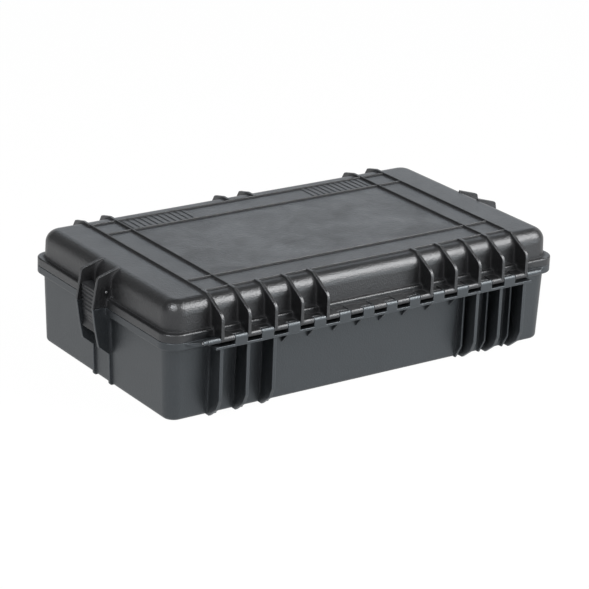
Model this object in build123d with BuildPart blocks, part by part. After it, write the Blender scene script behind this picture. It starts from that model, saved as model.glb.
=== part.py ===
from build123d import *

import os
from math import atan, degrees, radians, sqrt, tan

os.makedirs("parts", exist_ok=True)

# Closed case standing on its foot: X runs along the hinge, +Y is the hinge side, Z = 0 is the resting plane.
# Lengths are in millimetres and angles in degrees.

# Overall sizes
rim_length = 768.0
rim_depth = 430.0
rim_corner_radius = 28.0
parting_height = 135.0
deck_height = 196.4
wall = 4.0
parting_gap = 0.4
overrun = 2.0
edge_break = 0.6
rib_edge_break = 0.6
band_edge_radius = 2.5
ridge_edge_radius = 1.0

# Base tub
base_floor = 4.5
base_band_height = 13.2
base_wall_inset = 9.0
foot_inset = 13.5
foot_corner_radius = 20.0
foot_edge_radius = 7.0
tub_inner_radius = 6.0

# Lid
lid_band_height = 13.6
lid_wall_inset = 8.0
lid_corner_radius = 30.0
lid_edge_radius = 22.0
lid_draft = 2.0
lid_inner_edge_radius = 18.0

# Raised ridges, panel lines and grip ribs on the deck, placed inward from the rim face
ridge_rise = 3.6
ridge_width = 2.8
ridge_root = 3.0
ridge_front_inset = 25.5
ridge_back_inset = 23.0
panel_line_rise = 2.8
panel_line_width = 2.4
panel_outer_inset = 42.5
panel_inner_inset = 92.8
panel_shift = 3.0
deck_grip_rise = 0.9
deck_grip_width = 6.0
deck_grip_pitch = 11.6
deck_grip_count = 11
deck_grip_margin = 3.0

# Rib pitch, shared by the deck ridges and the back ribs
rib_pitch = 49.2
first_rib_inset = 85.0
back_rib_count = 5
lid_rib_thickness = 5.4
lid_rib_lean = 0.5
lid_rib_knee_drop = 21.4
lid_rib_knee_radius = 15.0

# Hinge
hinge_out = 18.0
hinge_rise = 1.3
barrel_radius = 5.0
hinge_pin_radius = 2.0
hinge_running_gap = 0.08
hinge_press_gap = 0.03
knuckle_end_gap = 1.2
knuckle_width = 24.7
middle_block_width = 20.5
end_block_width = 22.0
end_nose_width = 7.5
end_nose_radius = 4.0
hinge_strip_height = 3.8
hinge_strip_drop = 13.8
hinge_strip_tab = 8.0
hinge_ramp_length = 22.0
hinge_flange_height = 3.2
hinge_flange_gap = 1.2
pin_end_proud = 1.2

# Base back ribs, with gaps measured in from the hinge's outer face
base_rib_count = 3
base_rib_thickness = 6.0
base_rib_gap = 2.0
base_rib_turn_z = 35.0
base_rib_chamfer_in = 8.0
base_rib_chamfer_z = 17.0
base_rib_foot_out = 5.5
base_rib_turn_radius = 9.0
half_rib_thickness = 3.6
half_rib_offset = 12.5
half_rib_out = 2.0
half_rib_turn_z = 24.0
half_rib_foot_out = 1.5
gusset_thickness = 3.0
gusset_gap = 8.0
gusset_drop = 24.0

# Seal between lid and base
seal_inset = 6.2
channel_width = 7.0
channel_depth = 6.0
gasket_side_gap = 0.15
gasket_height = 4.0
tongue_width = 3.0
tongue_gap = 0.3

# Latch bays: places are outward from the rim face, rises and drops are from the parting plane
latch_rib_pitch = 50.4
latch_rib_thickness = 5.0
latch_rib_reach = 23.0
latch_kink_rise = 3.0
latch_knee_out = 18.8
latch_knee_rise = 29.0
side_shoulder_out = 14.5
side_shoulder_fall = 9.2
side_start_inset = 24.0
side_start_rise = 2.4
front_shoulder_out = 0.5
front_shoulder_fall = 2.4
latch_shoulder_radius = 6.0
latch_mid_out = 18.2
latch_mid_drop = 34.0
latch_turn_out = 12.0
latch_turn_drop = 65.0
latch_turn_radius = 8.0
latch_end_drop = 81.0
low_rib_rise = 4.0
low_rib_foot_radius = 5.0

# Latch lever and its pins
latch_pin_in = 1.5
latch_pin_rise = 26.0
latch_pin_radius = 2.0
latch_pin_proud = 0.8
pin_pocket_length = 10.0
pin_pocket_rise = 6.0
pin_pocket_drop = 8.0
pin_pocket_depth = 1.8
pin_running_gap = 0.06
pin_press_gap = 0.03
lever_side_gap = 0.4
lever_hub_radius = 4.0
lever_cheek_thickness = 3.0
lever_face = 15.5
lever_top_rise = 30.0
lever_top_corner = 2.0
lever_waist_out = 13.0
lever_waist_drop = 18.0
lever_hollow_out = 10.1
lever_hollow_drop = 32.4
lever_lip_out = 13.7
lever_lip_drop = 42.9
lever_lip_thickness = 2.6
lever_wall = 2.9
lever_thin_wall = 1.8
cheek_inner = 1.8
cheek_foot_drop = 37.0
cheek_foot_depth = 6.4
lever_arm_drop = 5.0
lever_arm_height = 9.0
groove_count = 6
groove_pitch = 7.2
groove_width = 3.4
groove_depth = 1.0
groove_low_drop = 11.0

# Claw and the catch ledge it hooks under
claw_pin_out = 5.0
claw_pin_drop = 32.0
claw_pin_radius = 1.5
claw_hub_radius = 3.0
claw_half_width = 17.0
claw_tip_in = 0.5
claw_tip_drop = 20.0
claw_tip_depth = 1.6
claw_neck_out = 1.6
claw_neck_drop = 24.0
claw_back_out = 7.0
claw_back_drop = 23.5
ledge_half_width = 17.0
ledge_out = 6.0
ledge_face_drop = 16.8
ledge_under_out = 3.5
ledge_under_drop = 19.2
ledge_top_drop = 11.0

# Carrying handle on the front
handle_arm_x = 84.0
handle_arm_width = 12.0
handle_arm_depth = 9.0
handle_pivot_out = 8.0
handle_pivot_drop = 29.0
handle_hub_radius = 7.5
handle_pin_radius = 2.5
handle_drop = 72.0
handle_bar_height = 14.0
handle_bar_depth = 10.0
handle_bend_radius = 9.0
lug_thickness = 5.0
lug_gap = 0.4
lug_radius = 8.5
lug_root_drop = 14.0
grip_half_length = 56.0
grip_height = 24.0
grip_depth = 17.0
grip_corner_radius = 7.5
grip_bore_gap = 0.05
grip_ring_count = 8
grip_ring_pitch = 12.0
grip_ring_width = 2.0
grip_ring_depth = 0.8

# Pressure relief valve on the front
valve_x = 158.0
valve_drop = 47.0
valve_boss_radius = 17.0
valve_boss_inset = 7.0
valve_boss_depth = 8.5
valve_stem_radius = 8.0
valve_stem_gap = 0.2
valve_flange_radius = 13.0
valve_flange_height = 3.0
valve_ring_radius = 10.5
valve_ring_wire = 1.0
valve_bore_radius = 5.0
valve_nut_width = 22.0
valve_nut_height = 5.0
valve_stem_end = 1.5
valve_knob_radius = 10.5
valve_knob_height = 6.5
valve_knob_gap = 0.3
valve_knob_notches = 10
valve_knob_notch_radius = 1.3
valve_axle_radius = 2.5
valve_axle_reach = 6.0
membrane_thickness = 1.2

# Values that follow from the sizes above
half_length = rim_length / 2
half_depth = rim_depth / 2
band_bottom = parting_height - base_band_height
band_middle = parting_height - base_band_height / 2
lid_bottom = parting_height + parting_gap
base_draft = degrees(atan((foot_inset - base_wall_inset) / band_bottom))
tub_length = rim_length - 2 * (foot_inset + wall)
tub_depth = rim_depth - 2 * (foot_inset + wall)
tub_corner_radius = foot_corner_radius - wall
lid_wall_length = rim_length - 2 * lid_wall_inset
lid_wall_depth = rim_depth - 2 * lid_wall_inset
ridge_top = deck_height + ridge_rise
panel_lines = (
    panel_shift + half_depth - panel_outer_inset,
    panel_shift + half_depth - panel_inner_inset,
    panel_shift - half_depth + panel_inner_inset,
    panel_shift - half_depth + panel_outer_inset,
)
first_rib_x = half_length - first_rib_inset
back_rib_places = [first_rib_x - rib_pitch * i for i in range(back_rib_count)]
back_rib_places = back_rib_places + [-x for x in back_rib_places]
base_rib_places = [first_rib_x - rib_pitch * i for i in range(base_rib_count)]
base_rib_places = base_rib_places + [-x for x in base_rib_places]
half_rib_places = [x - half_rib_offset if x > 0 else x + half_rib_offset for x in base_rib_places]
ridge_places = [first_rib_x, first_rib_x - rib_pitch, rib_pitch - first_rib_x, -first_rib_x]
hinge_y = half_depth + hinge_out
hinge_z = parting_height + hinge_rise
hinge_face_y = hinge_y + barrel_radius
hinge_strip_bottom = hinge_z - hinge_strip_drop
hinge_strip_top = hinge_strip_bottom + hinge_strip_height
hinge_strip_middle = hinge_strip_bottom + hinge_strip_height / 2
base_rib_face_y = hinge_face_y - base_rib_gap
half_rib_face_y = half_depth + half_rib_out
foot_y = half_depth - foot_inset
front_latch_x = first_rib_x - rib_pitch / 2
latch_bay_half = latch_rib_pitch / 2 - latch_rib_thickness / 2
lever_half = latch_bay_half - lever_side_gap
pocket_half = lever_half - lever_cheek_thickness
latch_pin_z = parting_height + latch_pin_rise
lever_top_z = parting_height + lever_top_rise
lever_arm_floor_z = lever_top_z - lever_arm_height
lever_waist_z = parting_height - lever_waist_drop
lever_hollow_z = parting_height - lever_hollow_drop
lever_lip_z = parting_height - lever_lip_drop
cheek_foot_z = parting_height - cheek_foot_drop
lever_lean = (lever_face - lever_waist_out) / (lever_top_z - lever_top_corner - lever_waist_z)
latch_end_z = parting_height - latch_end_drop
band_top = lid_bottom + lid_band_height
pocket_floor_out = -lid_wall_inset - tan(radians(lid_draft)) * (latch_pin_z - lid_bottom) - pin_pocket_depth
claw_pin_z = parting_height - claw_pin_drop
handle_pivot_z = parting_height - handle_pivot_drop
lug_root_z = handle_pivot_z - lug_root_drop
valve_z = parting_height - valve_drop


def wall_out(height):
    """Outward place of the base's outer wall at a height, measured from the rim face."""
    return -foot_inset + (foot_inset - base_wall_inset) * height / band_bottom


# Knuckle places along the hinge, as (inner end, outer end) on the +X side
lid_knuckles = []
base_blocks = []
for rib_x in back_rib_places[:back_rib_count]:
    outer_end = rib_x + lid_rib_thickness / 2
    lid_knuckles.append((outer_end - knuckle_width, outer_end))
    block_outer = outer_end - knuckle_width - knuckle_end_gap
    base_blocks.append((block_outer - (rib_pitch - knuckle_width - 2 * knuckle_end_gap), block_outer))
last_lid_end = lid_knuckles[-1][0]
base_blocks[-1] = (last_lid_end - knuckle_end_gap - middle_block_width, last_lid_end - knuckle_end_gap)
middle_knuckle = (last_lid_end - 2 * middle_block_width - 4 * knuckle_end_gap) * 2 / 3
inner_block_outer = middle_knuckle / 2 + knuckle_end_gap + middle_block_width
base_blocks.append((inner_block_outer - middle_block_width, inner_block_outer))
lid_knuckles.append((inner_block_outer + knuckle_end_gap, last_lid_end - 2 * knuckle_end_gap - middle_block_width))
end_block_inner = lid_knuckles[0][1] + knuckle_end_gap
end_block_outer = end_block_inner + end_block_width
hinge_end = end_block_outer + end_nose_width
lid_knuckle_end = lid_knuckles[0][1]
lid_knuckles = lid_knuckles + [(-b, -a) for a, b in lid_knuckles] + [(-middle_knuckle / 2, middle_knuckle / 2)]
base_blocks = base_blocks + [(-b, -a) for a, b in base_blocks]

# One upright plane per latch: its X points out of the rim, its Y is up and its normal runs along the rim
latch_planes = {
    "front_left": Plane(origin=(-front_latch_x, -half_depth, 0), x_dir=(0, -1, 0), z_dir=(-1, 0, 0)),
    "front_centre": Plane(origin=(0, -half_depth, 0), x_dir=(0, -1, 0), z_dir=(-1, 0, 0)),
    "front_right": Plane(origin=(front_latch_x, -half_depth, 0), x_dir=(0, -1, 0), z_dir=(-1, 0, 0)),
    "side_left": Plane(origin=(-half_length, 0, 0), x_dir=(-1, 0, 0), z_dir=(0, 1, 0)),
    "side_right": Plane(origin=(half_length, 0, 0), x_dir=(1, 0, 0), z_dir=(0, -1, 0)),
}
latch_rib_planes = [p.offset(side * latch_rib_pitch / 2) for p in latch_planes.values() for side in (-1, 1)]
front_latch_rib_planes = latch_rib_planes[:-4]
side_latch_rib_planes = latch_rib_planes[-4:]
front_plane = latch_planes["front_centre"]
handle_planes = [front_plane.offset(side * handle_arm_x) for side in (-1, 1)]

# Spaces inside the base and the lid, which their shells are cut with
with BuildPart() as tub_space:
    with BuildSketch(Plane.XY.offset(base_floor)):
        RectangleRounded(tub_length, tub_depth, tub_corner_radius)
    extrude(amount=parting_height - base_floor + overrun, taper=-base_draft)
    fillet(tub_space.edges().group_by(Axis.Z)[0], tub_inner_radius)

with BuildPart() as lid_space:
    with BuildSketch(Plane.XY.offset(lid_bottom)):
        RectangleRounded(lid_wall_length - 2 * wall, lid_wall_depth - 2 * wall, lid_corner_radius - wall)
    extrude(amount=deck_height - wall - lid_bottom, taper=lid_draft)
    fillet(lid_space.edges().group_by(Axis.Z)[-1], lid_inner_edge_radius)

# Rim bands of both halves, rounded on their outer edges
with BuildPart() as base_band:
    with BuildSketch(Plane.XY.offset(band_bottom)):
        RectangleRounded(rim_length, rim_depth, rim_corner_radius)
    extrude(amount=base_band_height)
    fillet(base_band.faces().sort_by(Axis.Z)[0].edges(), band_edge_radius)
    chamfer(base_band.faces().sort_by(Axis.Z)[-1].edges(), edge_break)

with BuildPart() as lid_band:
    with BuildSketch(Plane.XY.offset(lid_bottom)):
        RectangleRounded(rim_length, rim_depth, rim_corner_radius)
    extrude(amount=lid_band_height)
    fillet(lid_band.faces().sort_by(Axis.Z)[-1].edges(), band_edge_radius)
    chamfer(lid_band.faces().sort_by(Axis.Z)[0].edges(), edge_break)

# Deep back ribs of the base and their half-depth companions
with BuildPart() as base_back_ribs:
    with BuildSketch(*[Plane.YZ.offset(x) for x in base_rib_places]) as deep_outline:
        Polygon(
            (0, hinge_strip_middle),
            (0, 0),
            (foot_y + base_rib_foot_out, 0),
            (base_rib_face_y - base_rib_chamfer_in, base_rib_chamfer_z),
            (base_rib_face_y, base_rib_turn_z),
            (base_rib_face_y, hinge_strip_middle),
        )
        turn = deep_outline.vertices().sort_by_distance((base_rib_face_y, base_rib_turn_z))[0]
        fillet(turn, base_rib_turn_radius)
    extrude(amount=base_rib_thickness / 2, both=True)
    with BuildSketch(*[Plane.YZ.offset(x) for x in half_rib_places]):
        Polygon(
            (0, hinge_strip_middle),
            (0, 0),
            (foot_y + half_rib_foot_out, 0),
            (half_rib_face_y, half_rib_turn_z),
            (half_rib_face_y, hinge_strip_middle),
        )
    extrude(amount=half_rib_thickness / 2, both=True)
    rib_sides = base_back_ribs.faces().sort_by(SortBy.AREA)[-2 * len(base_rib_places + half_rib_places):]
    chamfer(rib_sides.edges(), rib_edge_break)

# Latch ribs of the base, with the low rib that carries each of them down to the foot
with BuildPart() as base_latch_ribs:
    with BuildSketch(*latch_rib_planes) as base_latch_outline:
        Polygon(
            (-half_depth / 2, parting_height),
            (latch_rib_reach, parting_height),
            (latch_mid_out, parting_height - latch_mid_drop),
            (latch_turn_out, parting_height - latch_turn_drop),
            (wall_out(latch_end_z) + low_rib_rise, latch_end_z),
            (low_rib_rise - foot_inset, 0),
            (-half_depth / 2, 0),
        )
        turn = base_latch_outline.vertices().sort_by_distance((latch_turn_out, parting_height - latch_turn_drop))[0]
        fillet(turn, latch_turn_radius)
        foot = base_latch_outline.vertices().sort_by_distance((low_rib_rise - foot_inset, 0))[0]
        fillet(foot, low_rib_foot_radius)
    extrude(amount=latch_rib_thickness / 2, both=True)
    rib_sides = base_latch_ribs.faces().sort_by(SortBy.AREA)[-2 * len(latch_rib_planes):]
    chamfer(rib_sides.edges(), rib_edge_break)

# Base shell
with BuildPart() as base_shell:
    with BuildSketch(Plane.XY):
        RectangleRounded(rim_length - 2 * foot_inset, rim_depth - 2 * foot_inset, foot_corner_radius)
    extrude(amount=parting_height - edge_break, taper=-base_draft)
    fillet(base_shell.edges().group_by(Axis.Z)[0], foot_edge_radius)
    add(base_band.part)

    # Outer ribs, then the hinge strip, its blocks and the gussets below the middle ones
    add(base_back_ribs.part)
    add(base_latch_ribs.part)
    with BuildSketch(Plane.YZ):
        Polygon(
            (0, hinge_strip_bottom),
            (hinge_face_y, hinge_strip_bottom),
            (hinge_face_y, hinge_strip_top),
            (0, hinge_strip_top),
        )
    extrude(amount=end_block_inner + hinge_strip_tab, both=True)
    for block_inner, block_outer in base_blocks:
        with BuildSketch(Plane.YZ.offset(block_inner)):
            Polygon(
                (0, hinge_strip_bottom),
                (hinge_face_y, hinge_strip_bottom),
                (hinge_face_y, hinge_z),
                (hinge_y, hinge_z),
                (hinge_y - barrel_radius, hinge_z),
                (hinge_y - barrel_radius, parting_height - edge_break),
                (0, parting_height - edge_break),
            )
            with Locations((hinge_y, hinge_z)):
                Circle(barrel_radius)
        extrude(amount=block_outer - block_inner)

    # End blocks, which carry the pin's ends: a barrel with a smaller nose, on an arm that ramps out of the rim
    for side in (-1, 1):
        with BuildSketch(Plane.YZ.offset(side * end_block_inner)):
            Polygon(
                (0, hinge_z - barrel_radius),
                (hinge_y, hinge_z - barrel_radius),
                (hinge_y, hinge_z),
                (hinge_y - barrel_radius, hinge_z),
                (hinge_y - barrel_radius, parting_height - edge_break),
                (0, parting_height - edge_break),
            )
            with Locations((hinge_y, hinge_z)):
                Circle(barrel_radius)
        extrude(amount=side * end_block_width)
        with BuildSketch(Plane.YZ.offset(side * end_block_outer)):
            Polygon(
                (0, hinge_z - end_nose_radius),
                (hinge_y, hinge_z - end_nose_radius),
                (hinge_y, hinge_z),
                (hinge_y - barrel_radius, hinge_z),
                (hinge_y - barrel_radius, parting_height - edge_break),
                (0, parting_height - edge_break),
            )
            with Locations((hinge_y, hinge_z)):
                Circle(end_nose_radius)
        extrude(amount=side * end_nose_width)
    with BuildSketch(Plane.XY.offset(hinge_z - barrel_radius)):
        for side in (-1, 1):
            Polygon(
                (side * end_block_outer, 0),
                (side * end_block_outer, hinge_y - barrel_radius),
                (side * hinge_end, hinge_y - barrel_radius),
                (side * (hinge_end + hinge_ramp_length), half_depth),
                (side * (hinge_end + hinge_ramp_length), 0),
            )
    extrude(amount=parting_height - edge_break - hinge_z + barrel_radius)
    gusset_places = [(a + b) / 2 for a, b in base_blocks if abs(a + b) / 2 < base_rib_places[base_rib_count - 1]]
    with BuildSketch(*[Plane.YZ.offset(x) for x in gusset_places]):
        Polygon(
            (0, hinge_strip_middle),
            (0, hinge_strip_bottom - gusset_drop),
            (half_depth + wall_out(hinge_strip_bottom), hinge_strip_bottom - gusset_drop),
            (hinge_face_y - gusset_gap, hinge_strip_middle),
        )
    extrude(amount=gusset_thickness / 2, both=True)

    # Catch ledges
    with BuildSketch(*latch_planes.values()):
        Polygon(
            (-half_depth / 2, parting_height - ledge_top_drop),
            (-half_depth / 2, parting_height - ledge_under_drop),
            (ledge_under_out, parting_height - ledge_under_drop),
            (ledge_out, parting_height - ledge_face_drop),
            (ledge_out, parting_height - ledge_top_drop),
        )
    extrude(amount=ledge_half_width, both=True)

    # Lugs that carry the handle
    lug_offset = handle_arm_width / 2 + lug_gap + lug_thickness / 2
    with BuildSketch(*[p.offset(side * lug_offset) for p in handle_planes for side in (-1, 1)]):
        with Locations((handle_pivot_out, handle_pivot_z)):
            Circle(lug_radius)
        Polygon(
            (-half_depth / 2, band_middle),
            (-half_depth / 2, lug_root_z),
            (wall_out(lug_root_z), lug_root_z),
            (handle_pivot_out + lug_radius / 2, handle_pivot_z - lug_radius * sqrt(3) / 2),
            (handle_pivot_out + lug_radius, handle_pivot_z),
            (handle_pivot_out + lug_radius / 2, handle_pivot_z + lug_radius * sqrt(3) / 2),
            (0, band_middle),
        )
    extrude(amount=lug_thickness / 2, both=True)

    # Inside of the tub
    add(tub_space.part, mode=Mode.SUBTRACT)

    # Sealing tongue
    with BuildSketch(Plane.XY.offset(parting_height)):
        RectangleRounded(
            rim_length - 2 * seal_inset + tongue_width,
            rim_depth - 2 * seal_inset + tongue_width,
            rim_corner_radius - seal_inset + tongue_width / 2,
        )
        RectangleRounded(
            rim_length - 2 * seal_inset - tongue_width,
            rim_depth - 2 * seal_inset - tongue_width,
            rim_corner_radius - seal_inset - tongue_width / 2,
            mode=Mode.SUBTRACT,
        )
    extrude(amount=parting_gap + channel_depth - gasket_height - tongue_gap)

    # Valve boss and its hole
    with BuildSketch(Plane.XZ.offset(half_depth - valve_boss_inset)):
        with Locations((valve_x, valve_z)):
            Circle(valve_boss_radius)
    extrude(amount=-valve_boss_depth)
    with BuildSketch(Plane.XZ.offset(half_depth - valve_boss_inset + overrun)):
        with Locations((valve_x, valve_z)):
            Circle(valve_stem_radius + valve_stem_gap)
    extrude(amount=-valve_boss_depth - 2 * overrun, mode=Mode.SUBTRACT)

    # Bores for the hinge pin and the handle pins
    with BuildSketch(Plane.YZ):
        with Locations((hinge_y, hinge_z)):
            Circle(hinge_pin_radius + hinge_press_gap)
    extrude(amount=hinge_end + overrun, both=True, mode=Mode.SUBTRACT)
    with BuildSketch(*handle_planes):
        with Locations((handle_pivot_out, handle_pivot_z)):
            Circle(handle_pin_radius + pin_press_gap)
    extrude(amount=lug_offset + lug_thickness, both=True, mode=Mode.SUBTRACT)
base_shell.part.label = "base_shell"
export_step(base_shell.part, "parts/base_shell.step")

# Back ribs of the lid, which run up into the deck's ridges
with BuildPart() as lid_back_ribs:
    with BuildSketch(*[Plane.YZ.offset(x) for x in back_rib_places]) as lid_rib_outline:
        Polygon(
            (0, hinge_z),
            (hinge_face_y, hinge_z),
            (hinge_face_y - lid_rib_lean, deck_height - lid_rib_knee_drop),
            (half_depth - ridge_back_inset, ridge_top),
            (panel_lines[0], ridge_top),
            (panel_lines[0], deck_height - ridge_root),
            (0, deck_height - ridge_root),
        )
        knee = lid_rib_outline.vertices().sort_by_distance((hinge_face_y, deck_height - lid_rib_knee_drop))[0]
        fillet(knee, lid_rib_knee_radius)
    extrude(amount=lid_rib_thickness / 2, both=True)
    rib_sides = lid_back_ribs.faces().sort_by(SortBy.AREA)[-2 * len(back_rib_places):]
    chamfer(rib_sides.edges(), rib_edge_break)

# Front latch ribs of the lid, which run up into the deck's ridges
with BuildPart() as front_latch_ribs:
    with BuildSketch(*front_latch_rib_planes) as front_outline:
        Polygon(
            (-half_depth / 2, lid_bottom),
            (latch_rib_reach, lid_bottom),
            (latch_rib_reach, parting_height + latch_kink_rise),
            (latch_knee_out, parting_height + latch_knee_rise),
            (front_shoulder_out, deck_height - front_shoulder_fall),
            (-ridge_front_inset, ridge_top),
            (-half_depth - panel_lines[-1], ridge_top),
            (-half_depth - panel_lines[-1], deck_height - ridge_root),
            (-half_depth / 2, deck_height - ridge_root),
        )
        shoulder_place = (front_shoulder_out, deck_height - front_shoulder_fall)
        fillet(front_outline.vertices().sort_by_distance(shoulder_place)[0], latch_shoulder_radius)
    extrude(amount=latch_rib_thickness / 2, both=True)
    rib_sides = front_latch_ribs.faces().sort_by(SortBy.AREA)[-2 * len(front_latch_rib_planes):]
    chamfer(rib_sides.edges(), rib_edge_break)

# Side latch ribs of the lid, which end at the deck's edge
with BuildPart() as side_latch_ribs:
    with BuildSketch(*side_latch_rib_planes) as side_outline:
        Polygon(
            (-half_depth / 2, lid_bottom),
            (latch_rib_reach, lid_bottom),
            (latch_rib_reach, parting_height + latch_kink_rise),
            (latch_knee_out, parting_height + latch_knee_rise),
            (side_shoulder_out, deck_height - side_shoulder_fall),
            (-side_start_inset, deck_height + side_start_rise),
            (-side_start_inset - ridge_width, deck_height - ridge_root),
            (-half_depth / 2, deck_height - ridge_root),
        )
        shoulder_place = (side_shoulder_out, deck_height - side_shoulder_fall)
        fillet(side_outline.vertices().sort_by_distance(shoulder_place)[0], latch_shoulder_radius)
    extrude(amount=latch_rib_thickness / 2, both=True)
    rib_sides = side_latch_ribs.faces().sort_by(SortBy.AREA)[-2 * len(side_latch_rib_planes):]
    chamfer(rib_sides.edges(), rib_edge_break)

# Ridges from front to back over the deck
with BuildPart() as deck_ridges:
    with BuildSketch(Plane.XY.offset(deck_height - ridge_root)):
        with Locations(*[(x, (ridge_front_inset - ridge_back_inset) / 2) for x in ridge_places]):
            Rectangle(ridge_width, rim_depth - ridge_front_inset - ridge_back_inset)
    extrude(amount=ridge_root + ridge_rise)
    fillet(deck_ridges.faces().group_by(Axis.Z)[-1].edges(), ridge_edge_radius)

# Lower ridges along the deck, which bound its panels
with BuildPart() as panel_ridges:
    with BuildSketch(Plane.XY.offset(deck_height - ridge_root)):
        with Locations(*[(0, y) for y in panel_lines]):
            Rectangle(2 * first_rib_x, panel_line_width)
    extrude(amount=ridge_root + panel_line_rise)
    fillet(panel_ridges.faces().group_by(Axis.Z)[-1].edges(), ridge_edge_radius)

# Lid shell
with BuildPart() as lid_shell:
    with BuildSketch(Plane.XY.offset(lid_bottom)):
        RectangleRounded(lid_wall_length, lid_wall_depth, lid_corner_radius)
    extrude(amount=deck_height - lid_bottom, taper=lid_draft)
    fillet(lid_shell.edges().group_by(Axis.Z)[-1], lid_edge_radius)
    add(lid_band.part)

    # Ribs, ridges and grip ribs
    add(lid_back_ribs.part)
    add(front_latch_ribs.part)
    add(side_latch_ribs.part)
    add(deck_ridges.part)
    add(panel_ridges.part)
    grip_length = panel_inner_inset - panel_outer_inset - 2 * deck_grip_margin
    grip_y = (panel_lines[-1] + panel_lines[-2]) / 2
    grip_x = first_rib_x - rib_pitch - deck_grip_pitch * (deck_grip_count + 1) / 2
    with BuildSketch(Plane.XY.offset(deck_height - ridge_root)):
        with Locations((-grip_x, grip_y), (grip_x, grip_y)):
            with GridLocations(deck_grip_pitch, 0, deck_grip_count, 1):
                Rectangle(deck_grip_width, grip_length)
    extrude(amount=ridge_root + deck_grip_rise)

    # Hinge knuckles, and the flange behind the base's blocks
    with BuildSketch(Plane.YZ):
        Polygon(
            (0, hinge_z),
            (hinge_y - barrel_radius - hinge_flange_gap, hinge_z),
            (hinge_y - barrel_radius - hinge_flange_gap, hinge_z + hinge_flange_height),
            (0, hinge_z + hinge_flange_height),
        )
    extrude(amount=lid_knuckle_end, both=True)
    for knuckle_inner, knuckle_outer in lid_knuckles:
        with BuildSketch(Plane.YZ.offset(knuckle_inner)):
            Polygon(
                (0, hinge_z),
                (hinge_y, hinge_z),
                (hinge_y, hinge_z + barrel_radius),
                (0, hinge_z + barrel_radius),
            )
            with Locations((hinge_y, hinge_z)):
                Circle(barrel_radius)
        extrude(amount=knuckle_outer - knuckle_inner)

    # Inside of the lid, with the channel for the gasket
    add(lid_space.part, mode=Mode.SUBTRACT)
    with BuildSketch(Plane.XY.offset(lid_bottom)):
        RectangleRounded(
            rim_length - 2 * seal_inset + channel_width,
            rim_depth - 2 * seal_inset + channel_width,
            rim_corner_radius - seal_inset + channel_width / 2,
        )
        RectangleRounded(
            rim_length - 2 * seal_inset - channel_width,
            rim_depth - 2 * seal_inset - channel_width,
            rim_corner_radius - seal_inset - channel_width / 2,
            mode=Mode.SUBTRACT,
        )
    extrude(amount=channel_depth, mode=Mode.SUBTRACT)

    # Pockets beside the latch ribs, which leave room for the pins' ends
    for latch_plane in latch_planes.values():
        for side in (-1, 1):
            with BuildSketch(latch_plane.offset(side * (latch_rib_pitch + latch_rib_thickness) / 2)):
                Polygon(
                    (-pin_pocket_depth, lid_bottom - overrun),
                    (-pin_pocket_depth, band_top + pin_pocket_depth),
                    (overrun, band_top + pin_pocket_depth),
                    (overrun, lid_bottom - overrun),
                )
                Polygon(
                    (pocket_floor_out, latch_pin_z - pin_pocket_drop),
                    (pocket_floor_out, latch_pin_z + pin_pocket_rise),
                    (overrun, latch_pin_z + pin_pocket_rise),
                    (overrun, latch_pin_z - pin_pocket_drop),
                )
            extrude(amount=side * pin_pocket_length, mode=Mode.SUBTRACT)

    # Bores for the hinge pin and the latch pins
    with BuildSketch(Plane.YZ):
        with Locations((hinge_y, hinge_z)):
            Circle(hinge_pin_radius + hinge_running_gap)
    extrude(amount=hinge_end, both=True, mode=Mode.SUBTRACT)
    with BuildSketch(*latch_planes.values()):
        with Locations((-latch_pin_in, latch_pin_z)):
            Circle(latch_pin_radius + pin_press_gap)
    extrude(amount=latch_rib_pitch / 2 + latch_rib_thickness, both=True, mode=Mode.SUBTRACT)
lid_shell.part.label = "lid_shell"
export_step(lid_shell.part, "parts/lid_shell.step")

# Gasket in the lid's channel
with BuildPart() as lid_gasket:
    gasket_width = channel_width - 2 * gasket_side_gap
    with BuildSketch(Plane.XY.offset(lid_bottom + channel_depth - gasket_height)):
        RectangleRounded(
            rim_length - 2 * seal_inset + gasket_width,
            rim_depth - 2 * seal_inset + gasket_width,
            rim_corner_radius - seal_inset + gasket_width / 2,
        )
        RectangleRounded(
            rim_length - 2 * seal_inset - gasket_width,
            rim_depth - 2 * seal_inset - gasket_width,
            rim_corner_radius - seal_inset - gasket_width / 2,
            mode=Mode.SUBTRACT,
        )
    extrude(amount=gasket_height)
lid_gasket.part.label = "lid_gasket"
export_step(lid_gasket.part, "parts/lid_gasket.step")

# Hinge pin through all knuckles
with BuildPart() as hinge_pin:
    with BuildSketch(Plane.YZ):
        with Locations((hinge_y, hinge_z)):
            Circle(hinge_pin_radius)
    extrude(amount=hinge_end + pin_end_proud, both=True)
    chamfer(hinge_pin.edges().filter_by(GeomType.CIRCLE), pin_end_proud / 2)
hinge_pin.part.label = "hinge_pin"
export_step(hinge_pin.part, "parts/hinge_pin.step")

# One steel pin through each pair of latch ribs
with BuildPart() as latch_pins:
    with BuildSketch(*latch_planes.values()):
        with Locations((-latch_pin_in, latch_pin_z)):
            Circle(latch_pin_radius)
    extrude(amount=latch_rib_pitch / 2 + latch_rib_thickness / 2 + latch_pin_proud, both=True)
    chamfer(latch_pins.edges().filter_by(GeomType.CIRCLE), latch_pin_proud / 2)
latch_pins.part.label = "latch_pins"
export_step(latch_pins.part, "parts/latch_pins.step")

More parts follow.
